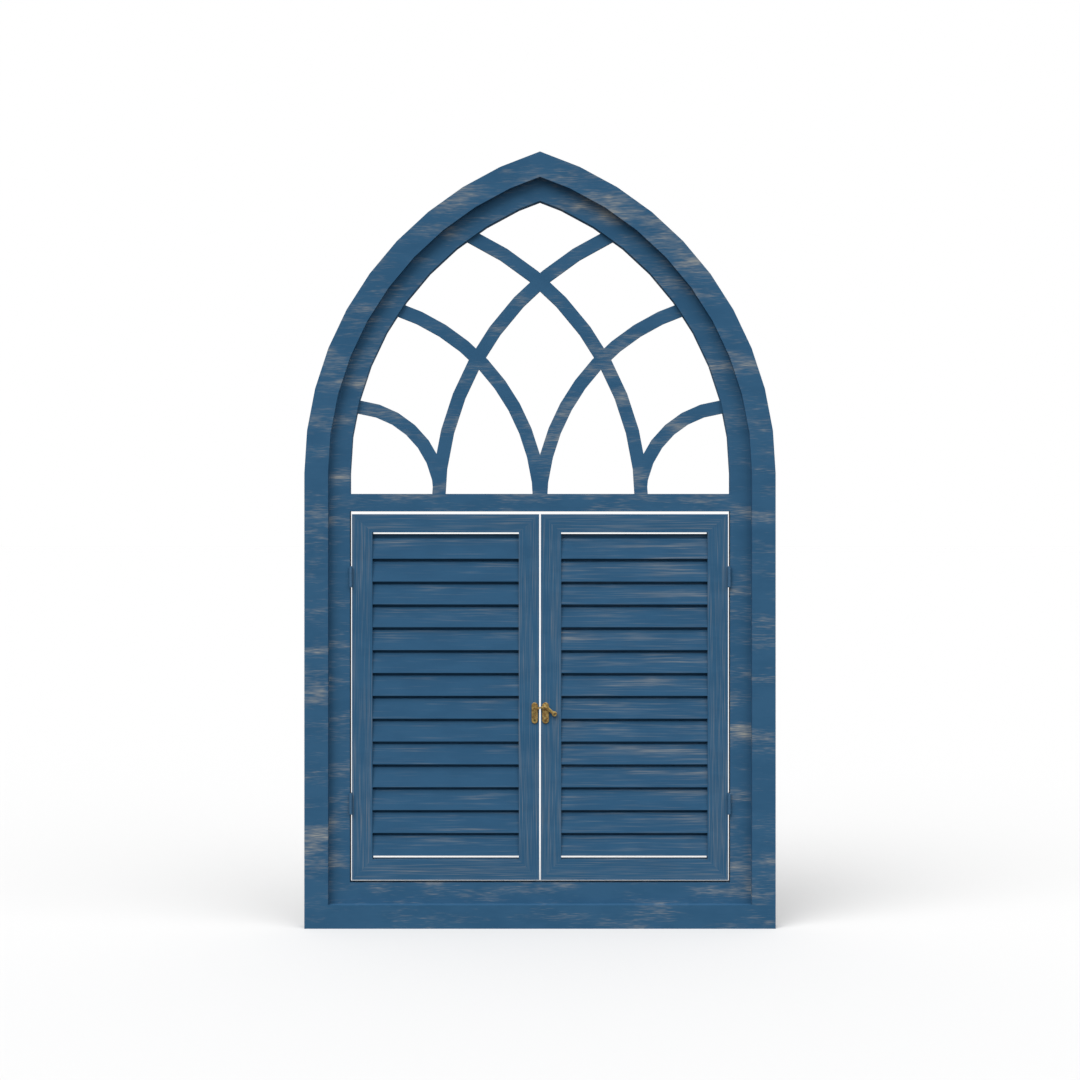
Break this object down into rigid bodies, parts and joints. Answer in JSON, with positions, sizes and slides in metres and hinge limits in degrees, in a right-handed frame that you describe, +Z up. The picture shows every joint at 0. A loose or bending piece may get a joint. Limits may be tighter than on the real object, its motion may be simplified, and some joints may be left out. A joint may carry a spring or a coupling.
{
  "type": "pointed arch window frame with louvred shutters",
  "caption": "Pointed-arch wooden window frame with open intersecting tracery above a transom and hinged louvred shutters below, closed by a brass hook latch.",
  "frame": {"origin": "middle of the bottom edge of the flat back face, which lies against the wall", "axes": "+Z up, the front faces -Y, +Y points into the wall, +X to the right seen from the front"},
  "size_m": [0.6, 0.025, 0.9895],
  "materials": {
    "painted_wood": "blue paint, worn to greyish tan streaks along the grain",
    "painted_hinge_metal": "blue paint brushed over small steel butt hinges",
    "aged_brass": "dull aged brass"
  },
  "bodies": {
    "frame": {"outer_bottom_rail": "painted_wood", "casing_bottom_rail": "painted_wood", "transom": "painted_wood", "outer_post_left": "painted_wood", "outer_post_right": "painted_wood", "outer_arch_left": "painted_wood", "outer_arch_right": "painted_wood", "casing_post_left": "painted_wood", "casing_post_right": "painted_wood", "casing_arch_left": "painted_wood", "casing_arch_right": "painted_wood", "tracery_long_left": "painted_wood", "tracery_long_right": "painted_wood", "tracery_middle_left": "painted_wood", "tracery_middle_right": "painted_wood", "tracery_short_left": "painted_wood", "tracery_short_right": "painted_wood", "upper_hinge_frame_half_left": "painted_hinge_metal", "upper_hinge_frame_half_right": "painted_hinge_metal", "upper_hinge_pin_left": "painted_hinge_metal", "upper_hinge_pin_right": "painted_hinge_metal", "lower_hinge_frame_half_left": "painted_hinge_metal", "lower_hinge_frame_half_right": "painted_hinge_metal", "lower_hinge_pin_left": "painted_hinge_metal", "lower_hinge_pin_right": "painted_hinge_metal"},
    "shutter_left": {"shutter_hinge_stile_left": "painted_wood", "shutter_meeting_stile_left": "painted_wood", "shutter_top_rail_left": "painted_wood", "shutter_bottom_rail_left": "painted_wood", "louvres_left": "painted_wood", "upper_hinge_leaf_half_left": "painted_hinge_metal", "lower_hinge_leaf_half_left": "painted_hinge_metal", "latch_keeper": "aged_brass"},
    "shutter_right": {"shutter_hinge_stile_right": "painted_wood", "shutter_meeting_stile_right": "painted_wood", "shutter_top_rail_right": "painted_wood", "shutter_bottom_rail_right": "painted_wood", "louvres_right": "painted_wood", "upper_hinge_leaf_half_right": "painted_hinge_metal", "lower_hinge_leaf_half_right": "painted_hinge_metal", "latch_hook_plate": "aged_brass", "latch_rivet": "aged_brass"},
    "latch_hook": {"latch_hook": "aged_brass"}
  },
  "joints": [
    {"name": "shutter_left_hinge", "type": "hinge", "parent": "frame", "child": "shutter_left", "pos_m": [-0.24175, -0.0174, 0.0602], "axis": [0, 0, -1], "range_deg": [0, 155]},
    {"name": "shutter_right_hinge", "type": "hinge", "parent": "frame", "child": "shutter_right", "pos_m": [0.24175, -0.0174, 0.0602], "axis": [0, 0, 1], "range_deg": [0, 155]},
    {"name": "latch_hook_pivot", "type": "hinge", "parent": "shutter_right", "child": "latch_hook", "pos_m": [0.0071, -0.0179, 0.28145], "axis": [0, 1, 0], "range_deg": [0, 60]}
  ]
}
